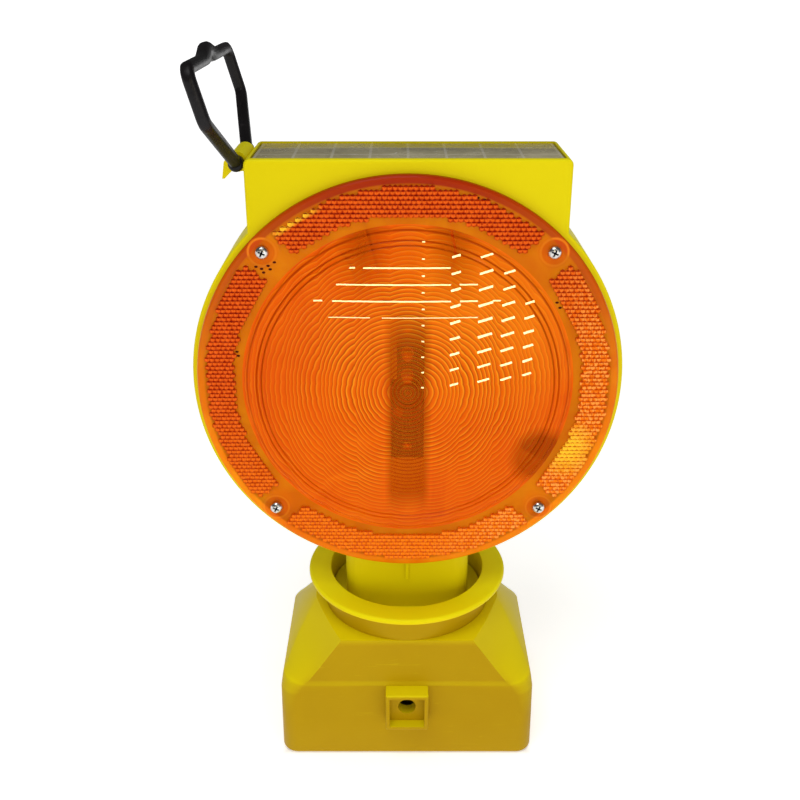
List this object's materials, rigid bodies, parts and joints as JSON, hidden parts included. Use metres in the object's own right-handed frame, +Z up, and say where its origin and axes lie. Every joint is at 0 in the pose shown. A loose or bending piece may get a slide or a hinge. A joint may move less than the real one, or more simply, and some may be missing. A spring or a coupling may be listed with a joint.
{
  "type": "solar barricade warning light",
  "caption": "Solar barricade warning light: yellow head with an amber lens that swivels on a hollow bolt-on base, with a folding carry handle and a push switch.",
  "frame": {"origin": "middle of the base's underside, on the axis that the head swivels about", "axes": "+Z up, the lens faces -Y, +X to the right seen from the lens side"},
  "size_m": [0.19, 0.1, 0.3341],
  "materials": {
    "yellow_plastic": "satin injection-moulded polypropylene with light scuffs",
    "amber_lens": "clear amber polycarbonate with prisms and rings",
    "black_plastic": "satin black nylon",
    "black_rubber": "matt foam rubber",
    "zinc_steel": "bright zinc plate",
    "solar_cells": "dark cells under scratched resin",
    "circuit_board": "solder mask",
    "led_resin": "clear tinted resin",
    "cell_jacket": "shrink sleeve",
    "red_wire": "PVC insulation",
    "black_wire": "PVC insulation"
  },
  "bodies": {
    "base": {"base_body": "yellow_plastic", "collar_ring": "yellow_plastic", "swivel_bolt": "zinc_steel", "swivel_washer_lower": "zinc_steel", "swivel_washer_upper": "zinc_steel", "swivel_nut": "zinc_steel"},
    "head": {"head_housing": "yellow_plastic", "front_lens": "amber_lens", "lens_gasket": "black_rubber", "lens_screw_1": "zinc_steel", "lens_screw_2": "zinc_steel", "lens_screw_3": "zinc_steel", "lens_screw_4": "zinc_steel", "solar_panel": "solar_cells", "battery_holder": "black_plastic", "battery_cell_1": "cell_jacket", "board_screw_1": "zinc_steel", "led_1": "led_resin", "battery_cell_2": "cell_jacket", "board_screw_2": "zinc_steel", "led_2": "led_resin", "led_board": "circuit_board", "light_sensor": "led_resin", "switch_body": "black_plastic", "switch_nut": "zinc_steel", "switch_wire_red": "red_wire", "panel_wire_red": "red_wire", "battery_wire_red": "red_wire", "switch_wire_black": "black_wire", "panel_wire_black": "black_wire", "battery_wire_black": "black_wire"},
    "handle": {"carry_handle": "black_plastic"},
    "switch": {"switch_cap": "black_plastic"}
  },
  "joints": [
    {"name": "head_swivel", "type": "hinge", "parent": "base", "child": "head", "pos_m": [0, 0, 0.07], "axis": [0, 0, 1], "continuous": true},
    {"name": "handle_hinge", "type": "hinge", "parent": "head", "child": "handle", "pos_m": [-0.0706, 0, 0.2882], "axis": [0, -1, 0], "range_deg": [-15.5, 134.5]},
    {"name": "switch_press", "type": "slide", "parent": "head", "child": "switch", "axis": [-0.8387, 0, 0.5446], "range_m": [0, 0.0018], "stiffness_N_per_m": 400, "springref_m": -0.002}
  ]
}
